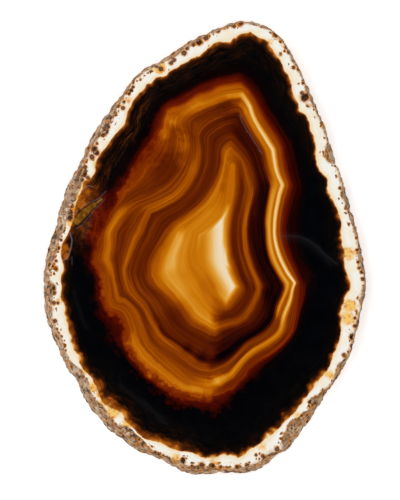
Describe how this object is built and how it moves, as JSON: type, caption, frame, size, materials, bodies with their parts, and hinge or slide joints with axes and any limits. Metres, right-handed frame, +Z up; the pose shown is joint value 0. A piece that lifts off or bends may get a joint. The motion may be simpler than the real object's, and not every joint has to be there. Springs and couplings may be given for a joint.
{
  "type": "agate slice",
  "caption": "Thin flat slice of dyed banded agate, egg-shaped, with a polished face, flat sawn back and rough natural rind, to lie on a shelf or table.",
  "frame": {"origin": "under the middle of the slice's outline, on the plane of its flat back", "axes": "+X the short way across, +Y the long way towards the narrow end, +Z up through the polished face"},
  "size_m": [0.081, 0.114, 0.006],
  "materials": {
    "banded_agate": "polished stone with black, brown, orange and cream bands inside a rough cream and brown rind"
  },
  "bodies": {
    "root": {"agate_slice": "banded_agate"}
  },
  "joints": []
}
